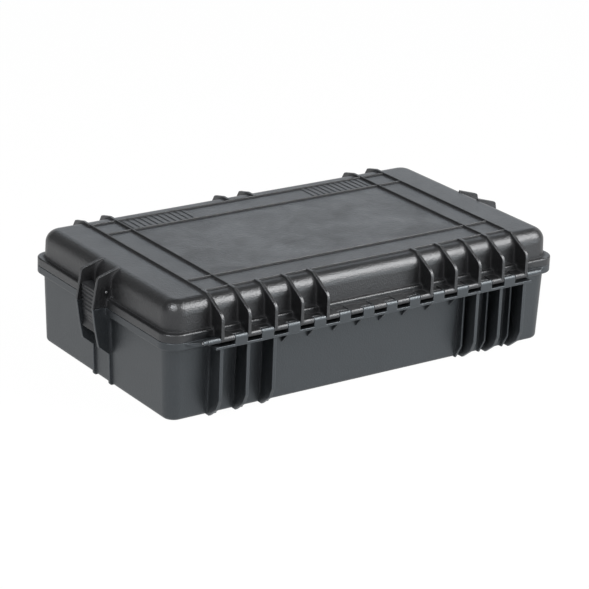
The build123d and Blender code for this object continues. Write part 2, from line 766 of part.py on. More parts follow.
# Latch lever, claw pin and claw, once for each latch
for place, latch_plane in latch_planes.items():
    with BuildPart() as latch_lever:
        with BuildSketch(latch_plane):
            with Locations((-latch_pin_in, latch_pin_z)):
                Circle(lever_hub_radius)
            Polygon(
                (-latch_pin_in, latch_pin_z + lever_hub_radius),
                (-latch_pin_in, latch_pin_z - lever_hub_radius),
                (cheek_inner, lever_arm_floor_z),
                (cheek_inner, claw_pin_z),
                (cheek_inner + lever_cheek_thickness, cheek_foot_z),
                (cheek_inner + cheek_foot_depth, cheek_foot_z),
                (lever_lip_out - lever_lip_thickness, lever_lip_z),
                (lever_lip_out, lever_lip_z),
                (lever_hollow_out, lever_hollow_z),
                (lever_waist_out, lever_waist_z),
                (lever_face, lever_top_z - lever_top_corner),
                (lever_face - lever_top_corner, lever_top_z),
            )
        extrude(amount=lever_half, both=True)
        with BuildSketch(latch_plane):
            Polygon(
                (-lever_face, lever_arm_floor_z),
                (lever_face - lever_wall - lever_arm_drop, lever_arm_floor_z),
                (lever_face - lever_wall, lever_arm_floor_z - lever_arm_drop),
                (lever_waist_out - lever_wall, lever_waist_z),
                (lever_hollow_out - lever_thin_wall, lever_hollow_z),
                (lever_hollow_out - lever_thin_wall, cheek_foot_z + lever_thin_wall),
                (lever_lip_out - lever_lip_thickness, lever_lip_z),
                (lever_lip_out - lever_lip_thickness, lever_lip_z - overrun),
                (-lever_face, lever_lip_z - overrun),
            )
        extrude(amount=pocket_half, both=True, mode=Mode.SUBTRACT)
        with BuildSketch(latch_plane):
            groove_rises = [lever_waist_drop - groove_low_drop + groove_pitch * i for i in range(groove_count)]
            with Locations(*[(lever_waist_out + lever_lean * g, lever_waist_z + g) for g in groove_rises]):
                Rectangle(2 * groove_depth, groove_width)
        extrude(amount=lever_half + overrun, both=True, mode=Mode.SUBTRACT)
        with BuildSketch(latch_plane):
            with Locations((-latch_pin_in, latch_pin_z)):
                Circle(latch_pin_radius + pin_running_gap)
            with Locations((claw_pin_out, claw_pin_z)):
                Circle(claw_pin_radius + pin_press_gap)
        extrude(amount=lever_half + overrun, both=True, mode=Mode.SUBTRACT)
    latch_lever.part.label = "latch_lever_" + place
    export_step(latch_lever.part, "parts/latch_lever_" + place + ".step")

    with BuildPart() as claw_pin:
        with BuildSketch(latch_plane):
            with Locations((claw_pin_out, claw_pin_z)):
                Circle(claw_pin_radius)
        extrude(amount=lever_half, both=True)
    claw_pin.part.label = "claw_pin_" + place
    export_step(claw_pin.part, "parts/claw_pin_" + place + ".step")

    with BuildPart() as latch_claw:
        with BuildSketch(latch_plane):
            with Locations((claw_pin_out, claw_pin_z)):
                Circle(claw_hub_radius)
            Polygon(
                (claw_neck_out, claw_pin_z),
                (claw_pin_out + claw_hub_radius, claw_pin_z),
                (claw_back_out, parting_height - claw_back_drop),
                (claw_pin_out, parting_height - claw_tip_drop),
                (-claw_tip_in, parting_height - claw_tip_drop),
                (-claw_tip_in, parting_height - claw_tip_drop - claw_tip_depth),
                (claw_neck_out, parting_height - claw_neck_drop),
            )
            with Locations((claw_pin_out, claw_pin_z)):
                Circle(claw_pin_radius + pin_running_gap, mode=Mode.SUBTRACT)
        extrude(amount=claw_half_width, both=True)
    latch_claw.part.label = "latch_claw_" + place
    export_step(latch_claw.part, "parts/latch_claw_" + place + ".step")

# Carrying handle: a U that hangs from two pins
handle_bar_z = handle_pivot_z - handle_drop
with BuildPart() as handle_frame:
    with BuildSketch(front_plane.offset(-handle_arm_x - handle_arm_width / 2)):
        with Locations((handle_pivot_out, handle_pivot_z)):
            Circle(handle_hub_radius)
        with Locations((handle_pivot_out, handle_pivot_z - handle_drop / 2)):
            Rectangle(handle_arm_depth, handle_drop)
        with Locations((handle_pivot_out, handle_bar_z)):
            Rectangle(handle_bar_depth, handle_bar_height)
    extrude(amount=2 * handle_arm_x + handle_arm_width)
    with BuildSketch(front_plane.offset(-handle_arm_x + handle_arm_width / 2)):
        with Locations((handle_pivot_out, handle_pivot_z)):
            Circle(handle_hub_radius + overrun)
        Polygon(
            (handle_pivot_out - handle_hub_radius - overrun, handle_pivot_z),
            (handle_pivot_out - handle_hub_radius - overrun, handle_bar_z + handle_bar_height / 2),
            (handle_pivot_out + handle_hub_radius + overrun, handle_bar_z + handle_bar_height / 2),
            (handle_pivot_out + handle_hub_radius + overrun, handle_pivot_z),
        )
    extrude(amount=2 * handle_arm_x - handle_arm_width, mode=Mode.SUBTRACT)
    outer_corners = (
        handle_frame.edges().filter_by(Axis.Y).group_by(Axis.Z)[0].group_by(Axis.X)
    )
    fillet(outer_corners[0] + outer_corners[-1], handle_bend_radius)
    with BuildSketch(front_plane):
        with Locations((handle_pivot_out, handle_pivot_z)):
            Circle(handle_pin_radius + pin_running_gap)
    extrude(amount=handle_arm_x + handle_arm_width, both=True, mode=Mode.SUBTRACT)
handle_frame.part.label = "handle_frame"
export_step(handle_frame.part, "parts/handle_frame.step")

# Soft sleeve round the middle of the handle's bar
with BuildPart() as handle_grip:
    with BuildSketch(front_plane):
        with Locations((handle_pivot_out, handle_bar_z)):
            RectangleRounded(grip_depth, grip_height, grip_corner_radius)
            Rectangle(
                handle_bar_depth + 2 * grip_bore_gap,
                handle_bar_height + 2 * grip_bore_gap,
                mode=Mode.SUBTRACT,
            )
    extrude(amount=grip_half_length, both=True)
    ring_centres = [grip_ring_pitch * (i - (grip_ring_count - 1) / 2) for i in range(grip_ring_count)]
    with BuildSketch(*[front_plane.offset(x) for x in ring_centres]):
        with Locations((handle_pivot_out, handle_bar_z)):
            RectangleRounded(grip_depth + overrun, grip_height + overrun, grip_corner_radius)
            RectangleRounded(
                grip_depth - 2 * grip_ring_depth,
                grip_height - 2 * grip_ring_depth,
                grip_corner_radius - grip_ring_depth,
                mode=Mode.SUBTRACT,
            )
    extrude(amount=grip_ring_width / 2, both=True, mode=Mode.SUBTRACT)
handle_grip.part.label = "handle_grip"
export_step(handle_grip.part, "parts/handle_grip.step")

# Two pins that carry the handle
with BuildPart() as handle_pins:
    with BuildSketch(*handle_planes):
        with Locations((handle_pivot_out, handle_pivot_z)):
            Circle(handle_pin_radius)
    extrude(amount=lug_offset + lug_thickness / 2, both=True)
handle_pins.part.label = "handle_pins"
export_step(handle_pins.part, "parts/handle_pins.step")

# Pressure relief valve: planes stand on the boss face and point out of the front
valve_face = Plane.XZ.offset(half_depth - valve_boss_inset)
with BuildPart() as valve_body:
    with BuildSketch(valve_face):
        with Locations((valve_x, valve_z)):
            Circle(valve_flange_radius)
    extrude(amount=valve_flange_height)
    with BuildSketch(valve_face):
        with Locations((valve_x, valve_z)):
            Circle(valve_stem_radius)
    extrude(amount=-valve_boss_depth - valve_nut_height - valve_stem_end)
    with BuildSketch(valve_face.offset(-valve_boss_depth - valve_nut_height - valve_stem_end)):
        with Locations((valve_x, valve_z)):
            Circle(valve_bore_radius)
    extrude(amount=valve_boss_depth + valve_nut_height, mode=Mode.SUBTRACT)
    with BuildSketch(valve_face.offset(valve_flange_height)):
        with Locations((valve_x, valve_z)):
            Circle(valve_axle_radius)
    extrude(amount=valve_axle_reach)
    with BuildSketch(valve_face):
        with Locations((valve_x, valve_z)):
            Circle(valve_ring_radius + valve_ring_wire)
            Circle(valve_ring_radius - valve_ring_wire, mode=Mode.SUBTRACT)
    extrude(amount=valve_ring_wire, mode=Mode.SUBTRACT)
valve_body.part.label = "valve_body"
export_step(valve_body.part, "parts/valve_body.step")

with BuildPart() as valve_seal_ring:
    with BuildSketch(valve_face):
        with Locations((valve_x, valve_z)):
            Circle(valve_ring_radius + valve_ring_wire - valve_stem_gap)
            Circle(valve_ring_radius - valve_ring_wire + valve_stem_gap, mode=Mode.SUBTRACT)
    extrude(amount=valve_ring_wire)
valve_seal_ring.part.label = "valve_seal_ring"
export_step(valve_seal_ring.part, "parts/valve_seal_ring.step")

with BuildPart() as valve_knob:
    with BuildSketch(valve_face.offset(valve_flange_height + valve_knob_gap)):
        with Locations((valve_x, valve_z)):
            Circle(valve_knob_radius)
            with PolarLocations(valve_knob_radius, valve_knob_notches):
                Circle(valve_knob_notch_radius, mode=Mode.SUBTRACT)
    extrude(amount=valve_knob_height)
    with BuildSketch(valve_face.offset(valve_flange_height)):
        with Locations((valve_x, valve_z)):
            Circle(valve_axle_radius + pin_running_gap)
    extrude(amount=valve_axle_reach + valve_knob_gap, mode=Mode.SUBTRACT)
valve_knob.part.label = "valve_knob"
export_step(valve_knob.part, "parts/valve_knob.step")

with BuildPart() as valve_nut:
    with BuildSketch(valve_face.offset(-valve_boss_depth)):
        with Locations((valve_x, valve_z)):
            RegularPolygon(valve_nut_width / 2, 6, major_radius=False)
            Circle(valve_stem_radius + pin_running_gap, mode=Mode.SUBTRACT)
    extrude(amount=-valve_nut_height)
valve_nut.part.label = "valve_nut"
export_step(valve_nut.part, "parts/valve_nut.step")

with BuildPart() as valve_membrane:
    with BuildSketch(valve_face.offset(-valve_stem_end)):
        with Locations((valve_x, valve_z)):
            Circle(valve_bore_radius - pin_running_gap)
    extrude(amount=-membrane_thickness)
valve_membrane.part.label = "valve_membrane"
export_step(valve_membrane.part, "parts/valve_membrane.step")
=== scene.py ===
"""Hard protective case: finishes, detailed grips and seal, floor, lamps and camera round the model.

The case stands on its foot at z = 0, with X along the hinge and +Y on the hinge side. Every length is
in metres.
"""

import logging
from dataclasses import dataclass
from enum import Enum
from math import copysign, pi

import bmesh
import bpy
from mathutils import Matrix, Vector


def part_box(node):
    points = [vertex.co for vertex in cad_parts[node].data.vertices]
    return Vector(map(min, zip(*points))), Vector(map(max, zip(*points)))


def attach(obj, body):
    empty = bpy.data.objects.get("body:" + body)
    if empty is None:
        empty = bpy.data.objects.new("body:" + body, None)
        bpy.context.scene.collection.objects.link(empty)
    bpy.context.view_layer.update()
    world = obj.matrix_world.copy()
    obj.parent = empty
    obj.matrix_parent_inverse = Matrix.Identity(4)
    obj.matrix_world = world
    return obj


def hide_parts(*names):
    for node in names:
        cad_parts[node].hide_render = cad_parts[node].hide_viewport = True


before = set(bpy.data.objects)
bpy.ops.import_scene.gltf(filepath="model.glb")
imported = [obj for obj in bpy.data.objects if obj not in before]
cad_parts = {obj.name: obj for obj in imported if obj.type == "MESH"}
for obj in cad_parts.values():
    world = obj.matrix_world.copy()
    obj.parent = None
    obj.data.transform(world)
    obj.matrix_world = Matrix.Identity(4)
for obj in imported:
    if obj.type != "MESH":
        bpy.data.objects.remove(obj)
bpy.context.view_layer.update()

log = logging.getLogger("protective_case")

Socket = bpy.types.NodeSocket
Pair = tuple[float, float]
Triple = tuple[float, float, float]

MM = 0.001
WHITE = (1.0, 1.0, 1.0, 1.0)

# A mix has sockets of the same names for numbers, vectors and colours, so its colours go by number
MIX_SHARE = 0
MIX_FIRST_COLOUR = 6
MIX_SECOND_COLOUR = 7
MIX_RESULT_COLOUR = 2


def to_linear(hex_colour: str) -> tuple[float, float, float, float]:
    """Turn an sRGB hex colour into the linear colour that a shader takes.

    Args:
        hex_colour: Six hex digits, with or without a leading hash.

    Returns:
        Red, green, blue and an alpha of 1, all from 0 to 1.
    """
    digits = hex_colour.lstrip("#")
    channels = [int(digits[i:i + 2], 16) / 255 for i in (0, 2, 4)]
    linear = [c / 12.92 if c <= 0.04045 else ((c + 0.055) / 1.055) ** 2.4 for c in channels]
    return (linear[0], linear[1], linear[2], 1.0)


def add_node(tree: bpy.types.NodeTree, kind: str, links: dict[str | int, object] | None = None,
             **settings: object) -> bpy.types.Node:
    """Add a node with its settings, and fill its inputs from values or from other nodes' outputs.

    Args:
        tree: The material's, world's or modifier's node tree.
        kind: The node's type, such as ShaderNodeMath.
        links: Input name or number to a value, or to an output socket that is linked to it.
        settings: The node's own properties, such as operation.

    Returns:
        The new node.
    """
    node = tree.nodes.new(kind)
    for name, value in settings.items():
        setattr(node, name, value)
    for socket, value in (links or {}).items():
        if isinstance(value, Socket):
            tree.links.new(value, node.inputs[socket])
        else:
            node.inputs[socket].default_value = value
    return node


def start_material(name: str) -> tuple[bpy.types.Material, bpy.types.NodeTree, bpy.types.Node]:
    """Start a material.

    Args:
        name: The material's name.

    Returns:
        The material, its node tree and its shader.
    """
    material = bpy.data.materials.new(name)
    material.use_nodes = True
    tree = material.node_tree
    return material, tree, tree.nodes["Principled BSDF"]


class Slot(Enum):
    """Material slots of the record; no piece in this script is given one."""

    LATCH = "latch_nylon"
    GASKET = "gasket_rubber"
    GRIP = "grip_rubber"


@dataclass(frozen=True)
class TexturedPanel:
    """Level field of a moulding whose tool was textured by itself, coarser and less even in gloss.

    Its middle and half size are in X and Y. The growths are times the size of the grain and the swing
    of the gloss, and the relief is a share of the grain's depth.
    """

    middle: Pair
    half_size: Pair
    lowest: float
    grain_growth: float = 2.0
    swing_growth: float = 3.0
    relief: float = 1.6


@dataclass(frozen=True)
class MouldedPlastic:
    """Injection moulded plastic from a spark-eroded tool.

    The tool leaves a pebbled grain that breaks the gloss up. The flow of the melt leaves cloudy patches
    of more and less gloss. The outer edges are drawn a shade lighter: partly handling wear, partly a
    painted highlight for the glints that run along them. Handling also polishes them smoother, while
    the feet of the ribs and ridges stay dull. The real grain is about 0.5 mm, too fine to show at the
    photograph's distance, so it is drawn coarser.
    """

    name: str
    colour: str
    # lighter colour of the outer edges: handling wear, and a painted highlight for their glints
    wear_and_glint_colour: str
    roughness: float
    gloss: float
    grain_size: float
    # cool tint on every reflection: a painted cast of the surroundings' light
    painted_reflection_tint: str = "#f1f3f7"
    ior: float = 1.5
    grain_depth: float = 0.10 * MM
    grain_border: float = 0.8
    grain_contrast: float = 0.25
    cloud_size: float = 62 * MM
    cloud_range: Pair = (0.3, 0.7)
    cloud_contrast: float = 0.18
    gloss_swing: float = 0.04
    edge_radius: float = 1.2 * MM
    # share of that lighter colour on the outer edges, wear and painted highlight alike
    edge_wear_and_glint: float = 0.6
    edge_polish: float = 0.12
    edge_turn: Pair = (0.99, 0.86)
    edge_reach: float = 1.1
    edge_room: Pair = (0.75, 0.95)
    shelter_reach: float = 6 * MM
    shelter_room: Pair = (0.97, 0.65)
    shelter_dulling: float = 0.4
    panel: TexturedPanel | None = None

    def build(self) -> bpy.types.Material:
        """Build the material, with grain, clouds, soft edges, and edge wear with a painted highlight.

        Returns:
            The finished material.
        """
        material, tree, shader = start_material(self.name)
        place = add_node(tree, "ShaderNodeTexCoord").outputs["Object"]
        grain = add_node(tree, "ShaderNodeTexVoronoi", {
            "Vector": place, "Scale": 1 / self.grain_size}).outputs["Distance"]
        clouds = add_node(tree, "ShaderNodeTexNoise", {
            "Vector": place, "Scale": 1 / self.cloud_size, "Detail": 6.0, "Roughness": 0.62,
            "Distortion": 0.6}).outputs["Fac"]
        soft = add_node(tree, "ShaderNodeBevel", {"Radius": self.edge_radius}, samples=8).outputs["Normal"]
        # edge mask for the lighter colour of wear and painted highlight; it also polishes the edges smoother
        edge = self.wear_and_glint_mask(tree, soft)
        tree.links.new(self.tone(tree, grain, clouds, edge), shader.inputs["Base Color"])
        swing, height = self.surface(tree, place, grain)
        around = add_node(tree, "ShaderNodeMath", {0: clouds, 1: -0.5}, operation="ADD").outputs[0]
        uneven = add_node(tree, "ShaderNodeMath", {
            0: around, 1: swing, 2: self.roughness}, operation="MULTIPLY_ADD").outputs[0]
        polished = add_node(tree, "ShaderNodeMath", {
            0: edge, 1: -self.edge_polish, 2: uneven}, operation="MULTIPLY_ADD").outputs[0]
        dulled = add_node(tree, "ShaderNodeMath", {
            0: polished, 1: self.shelter_mask(tree)}, operation="ADD").outputs[0]
        tree.links.new(dulled, shader.inputs["Roughness"])
        bump = add_node(tree, "ShaderNodeBump", {
            "Height": height, "Distance": self.grain_depth, "Strength": 1.0, "Normal": soft})
        tree.links.new(bump.outputs["Normal"], shader.inputs["Normal"])
        shader.inputs["IOR"].default_value = self.ior
        shader.inputs["Specular IOR Level"].default_value = self.gloss
        # the reflections carry a painted cool cast
        shader.inputs["Specular Tint"].default_value = to_linear(self.painted_reflection_tint)
        return material

    def tone(self, tree: bpy.types.NodeTree, grain: Socket, clouds: Socket, edge: Socket) -> Socket:
        """Vary the colour: lighter on the grain's pebbles, cloudy, and lighter on the edges, as wear
        and as a painted highlight.

        Args:
            tree: The material's node tree.
            grain: The distance from the middle of the nearest pebble, in pebbles.
            clouds: The cloudy patches.
            edge: The edges, worn and with a painted highlight.

        Returns:
            The colour.
        """
        clouded = add_node(tree, "ShaderNodeMapRange", {
            "Value": clouds, "From Min": self.cloud_range[0], "From Max": self.cloud_range[1],
            "To Min": 1 - self.cloud_contrast, "To Max": 1 + self.cloud_contrast}).outputs["Result"]
        pebbled = add_node(tree, "ShaderNodeMapRange", {
            "Value": grain, "From Min": 0.0, "From Max": self.grain_border,
            "To Min": 1 + self.grain_contrast, "To Max": 1 - self.grain_contrast}).outputs["Result"]
        both = add_node(tree, "ShaderNodeMath", {0: clouded, 1: pebbled}, operation="MULTIPLY").outputs[0]
        plain = add_node(tree, "ShaderNodeVectorMath", {
            0: to_linear(self.colour)[:3], "Scale": both}, operation="SCALE").outputs["Vector"]
        return add_node(tree, "ShaderNodeMix", {
            MIX_SHARE: edge, MIX_FIRST_COLOUR: plain, MIX_SECOND_COLOUR: to_linear(self.wear_and_glint_colour)},
            data_type="RGBA").outputs[MIX_RESULT_COLOUR]

    def shelter_mask(self, tree: bpy.types.NodeTree) -> Socket:
        """Find the feet of ribs and ridges and the gaps between them, which no hand polishes.

        Args:
            tree: The material's node tree.

        Returns:
            The roughness that these places have more.
        """
        room = add_node(tree, "ShaderNodeAmbientOcclusion", {
            "Distance": self.shelter_reach}, samples=6, only_local=True).outputs["AO"]
        return add_node(tree, "ShaderNodeMapRange", {
            "Value": room, "From Min": self.shelter_room[0], "From Max": self.shelter_room[1],
            "To Min": 0.0, "To Max": self.shelter_dulling}).outputs["Result"]

    def wear_and_glint_mask(self, tree: bpy.types.NodeTree, soft_normal: Socket) -> Socket:
        """Find the outer edges, which get the wear and the painted highlight: the rounded normal leaves the
        face's own, and nothing stands close by.

        Args:
            tree: The material's node tree.
            soft_normal: The normal rounded over the edges.

        Returns:
            A factor of 0 on a flat face and up to the share of wear and painted highlight on an edge.
        """
        true_normal = add_node(tree, "ShaderNodeNewGeometry").outputs["True Normal"]
        along = add_node(tree, "ShaderNodeVectorMath", {
            0: soft_normal, 1: true_normal}, operation="DOT_PRODUCT").outputs["Value"]
        turned = add_node(tree, "ShaderNodeMapRange", {
            "Value": along, "From Min": self.edge_turn[0], "From Max": self.edge_turn[1],
            "To Min": 0.0, "To Max": self.edge_wear_and_glint}).outputs["Result"]
        room = add_node(tree, "ShaderNodeAmbientOcclusion", {
            "Distance": self.edge_reach * self.edge_radius}, samples=6, only_local=True).outputs["AO"]
        free = add_node(tree, "ShaderNodeMapRange", {
            "Value": room, "From Min": self.edge_room[0],
            "From Max": self.edge_room[1]}).outputs["Result"]
        return add_node(tree, "ShaderNodeMath", {0: turned, 1: free}, operation="MULTIPLY").outputs[0]

    def surface(self, tree: bpy.types.NodeTree, place: Socket,
                grain: Socket) -> tuple[Socket | float, Socket]:
        """Set the swing of the gloss and the height of the grain, which both grow on the panel.

        Args:
            tree: The material's node tree.
            place: Object coordinates.
            grain: The grain of the whole piece.

        Returns:
            The gloss swing from the darkest to the lightest cloud, and the height.
        """
        full_swing = 2 * self.gloss_swing
        if self.panel is None:
            return full_swing, grain
        parts = add_node(tree, "ShaderNodeSeparateXYZ", {"Vector": place}).outputs
        inside = add_node(tree, "ShaderNodeMath", {
            0: parts["Z"], 1: self.panel.lowest}, operation="GREATER_THAN").outputs[0]
        for axis, middle, half in zip("XY", self.panel.middle, self.panel.half_size):
            near = add_node(tree, "ShaderNodeMath", {
                0: parts[axis], 1: middle, 2: half}, operation="COMPARE").outputs[0]
            inside = add_node(tree, "ShaderNodeMath", {0: inside, 1: near}, operation="MULTIPLY").outputs[0]
        swing = add_node(tree, "ShaderNodeMath", {
            0: inside, 1: self.panel.swing_growth * self.gloss_swing, 2: full_swing},
            operation="MULTIPLY_ADD").outputs[0]
        coarse = add_node(tree, "ShaderNodeTexNoise", {
            "Vector": place, "Scale": 1 / (self.panel.grain_growth * self.grain_size), "Detail": 4.0,
            "Roughness": 0.7}).outputs["Fac"]
        raised = add_node(tree, "ShaderNodeMath", {
            0: coarse, 1: self.panel.relief}, operation="MULTIPLY").outputs[0]
        extra = add_node(tree, "ShaderNodeMath", {0: inside, 1: raised}, operation="MULTIPLY").outputs[0]
        height = add_node(tree, "ShaderNodeMath", {0: grain, 1: extra}, operation="ADD").outputs[0]
        return swing, height


@dataclass(frozen=True)
class MouldedRubber:
    """Moulded rubber: matte, with a fine grain and a slight bloom that greys it in patches."""

    name: str
    colour: str
    bloom_colour: str
    roughness: float
    roughness_swing: float = 0.05
    grain_size: float = 0.8 * MM
    grain_depth: float = 0.04 * MM
    bloom_size: float = 25 * MM
    bloom_range: Pair = (0.4, 0.7)
    sheen: float = 0.15
    sheen_roughness: float = 0.5

    def build(self) -> bpy.types.Material:
        """Build the material, with a soft sheen, fine grain and bloom.

        Returns:
            The finished material.
        """
        material, tree, shader = start_material(self.name)
        place = add_node(tree, "ShaderNodeTexCoord").outputs["Object"]
        grain = add_node(tree, "ShaderNodeTexNoise", {
            "Vector": place, "Scale": 1 / self.grain_size, "Detail": 2.0}).outputs["Fac"]
        bloom = add_node(tree, "ShaderNodeTexNoise", {
            "Vector": place, "Scale": 1 / self.bloom_size, "Detail": 4.0}).outputs["Fac"]
        share = add_node(tree, "ShaderNodeMapRange", {
            "Value": bloom, "From Min": self.bloom_range[0],
            "From Max": self.bloom_range[1]}).outputs["Result"]
        colour = add_node(tree, "ShaderNodeMix", {
            MIX_SHARE: share, MIX_FIRST_COLOUR: to_linear(self.colour),
            MIX_SECOND_COLOUR: to_linear(self.bloom_colour)}, data_type="RGBA").outputs[MIX_RESULT_COLOUR]
        tree.links.new(colour, shader.inputs["Base Color"])
        rough = add_node(tree, "ShaderNodeMapRange", {
            "Value": bloom, "To Min": self.roughness - self.roughness_swing,
            "To Max": self.roughness + self.roughness_swing}).outputs["Result"]
        tree.links.new(rough, shader.inputs["Roughness"])
        bump = add_node(tree, "ShaderNodeBump", {
            "Height": grain, "Distance": self.grain_depth, "Strength": 1.0})
        tree.links.new(bump.outputs["Normal"], shader.inputs["Normal"])
        shader.inputs["Sheen Weight"].default_value = self.sheen
        shader.inputs["Sheen Roughness"].default_value = self.sheen_roughness
        return material


@dataclass(frozen=True)
class DrawnSteel:
    """Cold-drawn stainless rod: bright, with fine lines along its length from the drawing die.

    The real lines are about 0.05 mm apart, too fine to show, so they are drawn coarser.
    """

    name: str
    colour: str
    roughness: float
    roughness_spread: Pair = (0.08, 0.1)
    line_pitch: float = 0.5 * MM
    line_depth: float = 0.01 * MM
    line_stretch: float = 0.05
    patch_size: float = 6 * MM

    def build(self) -> bpy.types.Material:
        """Build the material, with drawing lines and a few dull patches.

        Returns:
            The finished material.
        """
        material, tree, shader = start_material(self.name)
        place = add_node(tree, "ShaderNodeTexCoord").outputs["Object"]
        stretched = add_node(tree, "ShaderNodeMapping", {
            "Vector": place, "Scale": (self.line_stretch, 1.0, 1.0)}).outputs["Vector"]
        lines = add_node(tree, "ShaderNodeTexNoise", {
            "Vector": stretched, "Scale": 1 / self.line_pitch, "Detail": 3.0}).outputs["Fac"]
        patches = add_node(tree, "ShaderNodeTexNoise", {
            "Vector": place, "Scale": 1 / self.patch_size, "Detail": 3.0}).outputs["Fac"]
        both = add_node(tree, "ShaderNodeMath", {0: lines, 1: patches}, operation="ADD").outputs[0]
        rough = add_node(tree, "ShaderNodeMapRange", {
            "Value": both, "From Min": 0.6, "From Max": 1.4,
            "To Min": self.roughness - self.roughness_spread[0],
            "To Max": self.roughness + self.roughness_spread[1]}).outputs["Result"]
        tree.links.new(rough, shader.inputs["Roughness"])
        bump = add_node(tree, "ShaderNodeBump", {
            "Height": lines, "Distance": self.line_depth, "Strength": 1.0})
        tree.links.new(bump.outputs["Normal"], shader.inputs["Normal"])
        shader.inputs["Base Color"].default_value = to_linear(self.colour)
        shader.inputs["Metallic"].default_value = 1.0
        return material


@dataclass(frozen=True)
class VentFilm:
    """Stretched fluoropolymer film: opaque white and faintly fibrous, so it looks like matte paper."""

    name: str
    colour: str
    roughness: float = 0.8
    fibre_size: float = 0.6 * MM
    fibre_depth: float = 0.03 * MM

    def build(self) -> bpy.types.Material:
        """Build the material, with a fine fibrous bump.

        Returns:
            The finished material.
        """
        material, tree, shader = start_material(self.name)
        place = add_node(tree, "ShaderNodeTexCoord").outputs["Object"]
        fibres = add_node(tree, "ShaderNodeTexNoise", {
            "Vector": place, "Scale": 1 / self.fibre_size, "Detail": 4.0,
            "Distortion": 1.5}).outputs["Fac"]
        bump = add_node(tree, "ShaderNodeBump", {
            "Height": fibres, "Distance": self.fibre_depth, "Strength": 1.0})
        tree.links.new(bump.outputs["Normal"], shader.inputs["Normal"])
        shader.inputs["Base Color"].default_value = to_linear(self.colour)
        shader.inputs["Roughness"].default_value = self.roughness
        return material


class Finishes:
    """Every finish of the case, built once."""

    def __init__(self) -> None:
        """Build the materials."""
        deck_panel = TexturedPanel(middle=(0.0, 3 * MM), half_size=(248.5 * MM, 121 * MM), lowest=190 * MM)
        # each plastic's second colour is its edges' wear and painted highlight
        self.lid = MouldedPlastic(
            "moulded_polypropylene_lid", "#0b0b0c", "#606367", roughness=0.40, gloss=0.8,
            grain_size=2.8 * MM, grain_depth=0.28 * MM, gloss_swing=0.08, panel=deck_panel).build()
        # the base's reflections carry a stronger painted bluish cast
        self.base = MouldedPlastic(
            "moulded_polypropylene_base", "#0d0e10", "#54595e", roughness=0.44, gloss=0.95,
            painted_reflection_tint="#e8f2fa", grain_size=3.0 * MM, grain_depth=0.12 * MM).build()
        self.nylon = MouldedPlastic(
            "moulded_glass_filled_nylon", "#131416", "#46484b", roughness=0.42, gloss=0.7,
            grain_size=1.3 * MM, cloud_contrast=0.1, edge_radius=0.6 * MM).build()
        self.gasket = MouldedRubber(
            "moulded_nitrile_rubber", "#161617", "#232324", roughness=0.6).build()
        self.grip = MouldedRubber(
            "overmoulded_soft_grip", "#1a1a1b", "#29292a", roughness=0.65).build()
        self.steel = DrawnSteel("drawn_stainless_steel", "#c9cacc", roughness=0.3).build()
        self.film = VentFilm("stretched_vent_film", "#dddcd8").build()


class CadNodes:
    """The CAD pieces that keep their shape and get a finish."""

    def __init__(self, finishes: Finishes) -> None:
        """Set each node's finish: steel for the pins and nylon for what isn't named here.

        Args:
            finishes: All finishes of the case.
        """
        self.finish_of = {
            "base_shell": finishes.base,
            "lid_shell": finishes.lid,
            "handle_grip": finishes.grip,
            "lid_gasket": finishes.gasket,
            "valve_seal_ring": finishes.gasket,
            "valve_membrane": finishes.film,
        }
        self.steel = finishes.steel
        self.nylon = finishes.nylon

    def dress(self) -> None:
        """Give each CAD node's object its finish."""
        for name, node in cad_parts.items():
            finish = self.finish_of.get(name)
            if finish is None:
                finish = self.steel if "pin" in name else self.nylon
            node.data.materials.clear()
            node.data.materials.append(finish)
            log.info("finish %s on %s", finish.name, name)


